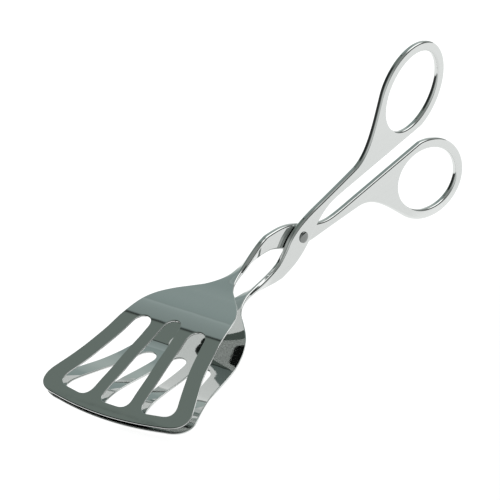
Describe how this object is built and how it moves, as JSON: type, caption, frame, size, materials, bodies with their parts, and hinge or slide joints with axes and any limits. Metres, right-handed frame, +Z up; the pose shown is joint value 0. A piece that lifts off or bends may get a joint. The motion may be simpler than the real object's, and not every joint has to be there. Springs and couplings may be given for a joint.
{
  "type": "serving tongs",
  "caption": "Scissor-action metal serving tongs: crossed flat levers on a rivet, with finger rings at the back and broad slotted spatula blades in front.",
  "frame": {"origin": "centre of the bounding box, at the surface that the closed tongs stand on", "axes": "+X runs from the blades to the finger rings, +Z is up from the surface, and Y runs along the rivet; the front lever, which holds the lower blade and the upper ring, is on the -Y side"},
  "size_m": [0.246, 0.0862, 0.088],
  "materials": {
    "lever_steel": "mirror-polished stainless steel",
    "rivet_steel": "polished stainless steel rivet head"
  },
  "bodies": {
    "front": {"front_lever": "lever_steel", "rivet": "rivet_steel"},
    "rear": {"rear_lever": "lever_steel"}
  },
  "joints": [
    {"name": "tongs_pivot", "type": "hinge", "parent": "front", "child": "rear", "pos_m": [0.01191, 0, 0.03057], "axis": [0, 1, 0], "range_deg": [0, 60]}
  ]
}
